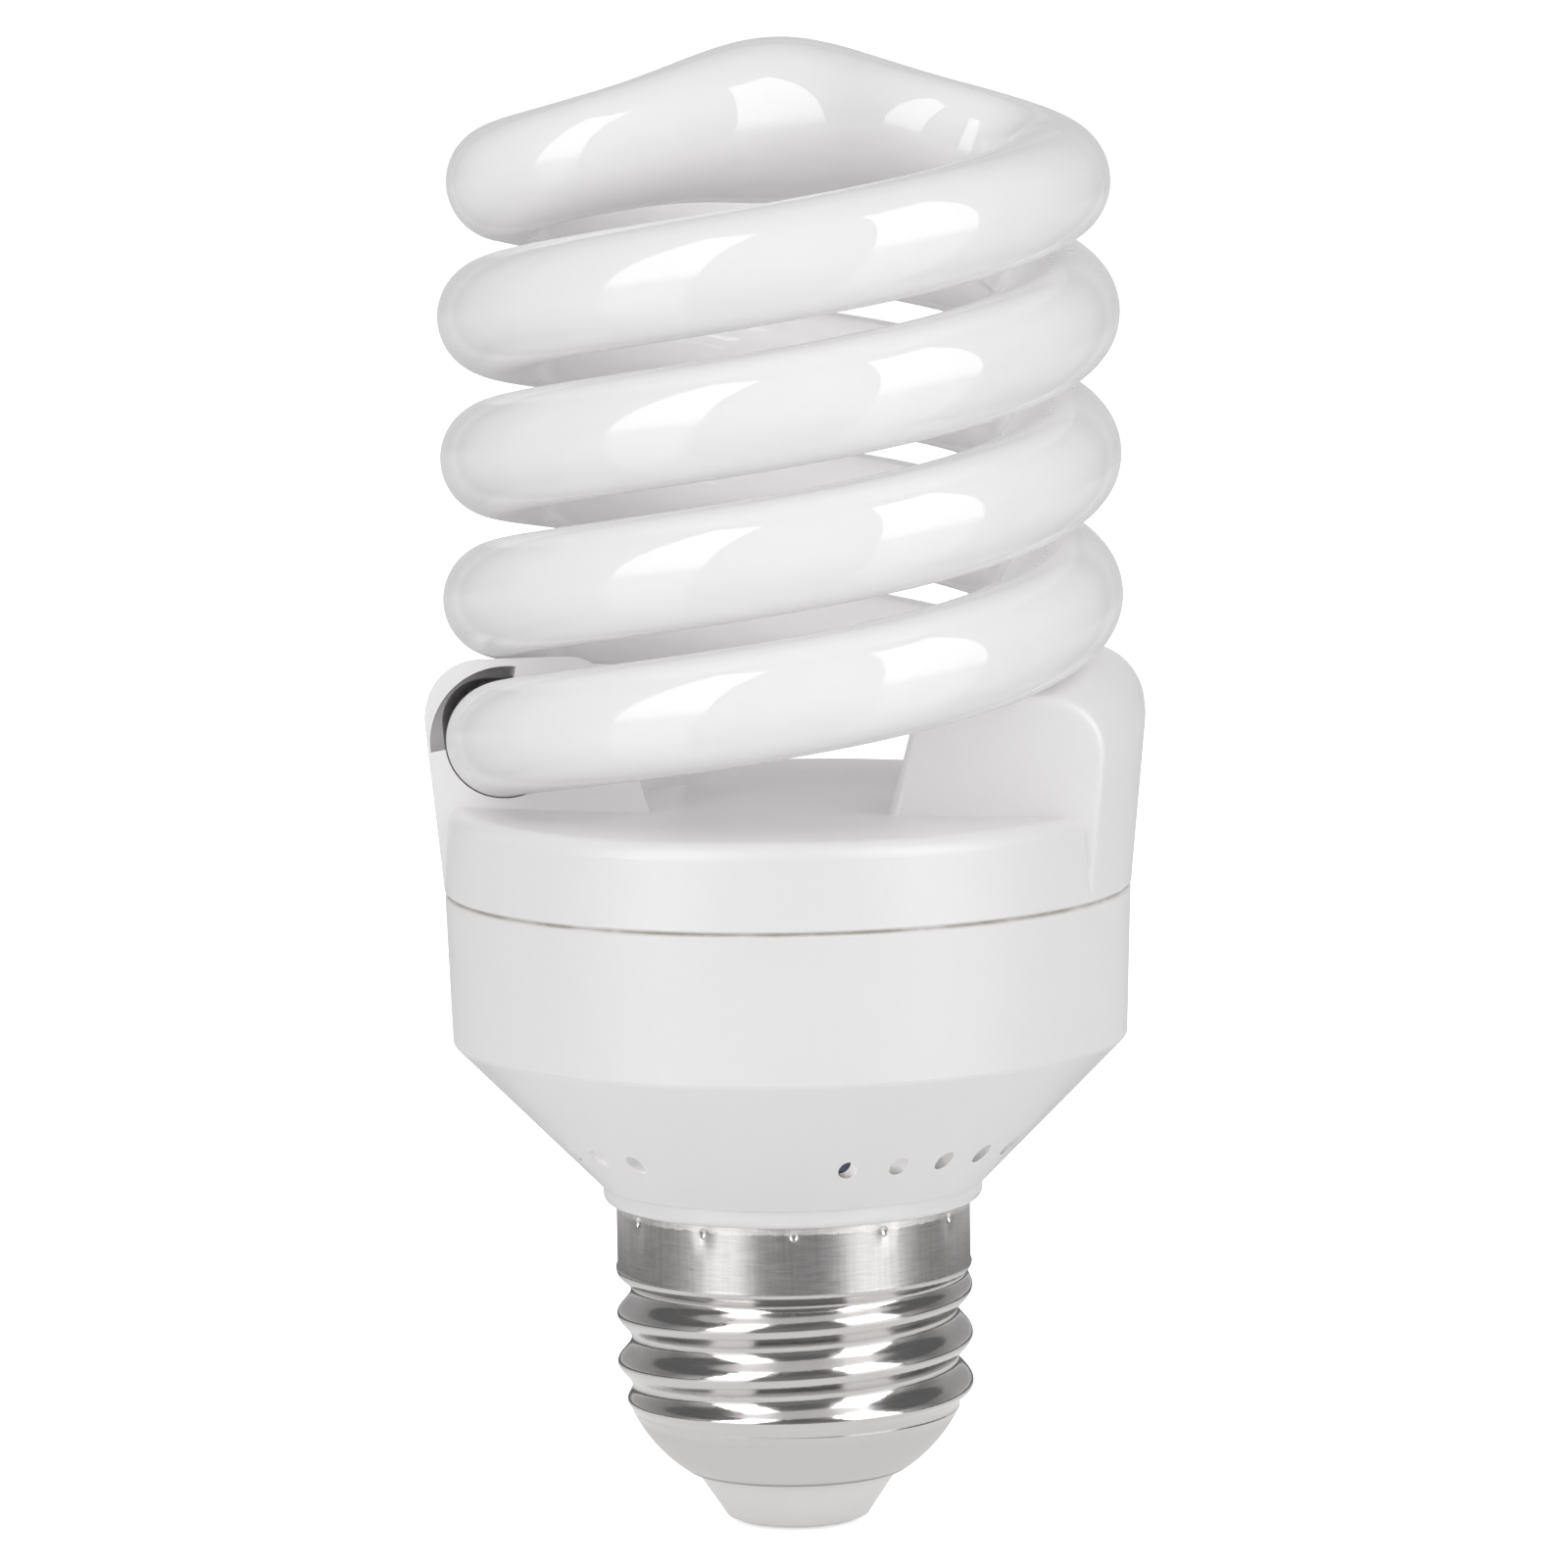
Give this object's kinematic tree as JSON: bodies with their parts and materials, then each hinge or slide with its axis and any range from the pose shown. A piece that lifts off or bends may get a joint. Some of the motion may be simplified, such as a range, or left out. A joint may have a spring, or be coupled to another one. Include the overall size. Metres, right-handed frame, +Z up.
{
  "type": "spiral energy saving bulb",
  "caption": "Compact fluorescent lamp: a double spiral of white glass tube in a plastic ballast housing, on an E27 screw cap.",
  "frame": {"origin": "centre of the outer face of the centre contact, at the foot of the screw cap", "axes": "+Z up along the lamp's axis from the cap to the top of the glass, -Y the front as pictured, +X the viewer's right"},
  "size_m": [0.053, 0.0506, 0.11],
  "materials": {
    "phosphor_glass": "gloss white, phosphor coated inside",
    "white_plastic": "moulded satin",
    "cap_metal": "nickel plated, satin",
    "contact_metal": "tinned in the middle",
    "insulator_plastic": "moulded satin",
    "board_laminate": "paper laminate",
    "capacitor_sleeve": "shrunk sleeve",
    "ferrite": "ground",
    "bobbin_plastic": "moulded",
    "enamelled_wire": "lacquered copper",
    "tinned_wire": "tinned",
    "black_epoxy": "moulded",
    "film_coating": "dipped",
    "resistor_coating": "lacquered",
    "wire_sleeve": "sleeved wire",
    "white_cement": "set cement"
  },
  "bodies": {
    "root": {"discharge_tube": "phosphor_glass", "upper_cover": "white_plastic", "ballast_housing": "white_plastic", "screw_shell": "cap_metal", "cap_insulator": "insulator_plastic", "centre_contact": "contact_metal", "circuit_board": "board_laminate", "bulk_capacitor": "capacitor_sleeve", "choke_core": "ferrite", "choke_bobbin": "bobbin_plastic", "choke_winding": "enamelled_wire", "choke_pins": "tinned_wire", "drive_core": "ferrite", "drive_windings": "enamelled_wire", "transistor_1": "black_epoxy", "transistor_2": "black_epoxy", "rectifier_diodes": "black_epoxy", "filter_inductor": "black_epoxy", "resonant_capacitor": "film_coating", "coupling_capacitor": "film_coating", "snubber_capacitor": "film_coating", "thermistor": "film_coating", "diac": "film_coating", "resistors": "resistor_coating", "fusible_resistor": "resistor_coating", "live_wire": "wire_sleeve", "neutral_wire": "tinned_wire", "wrap_pins": "tinned_wire", "tube_lead_wires": "tinned_wire", "tube_cement": "white_cement"}
  },
  "joints": []
}
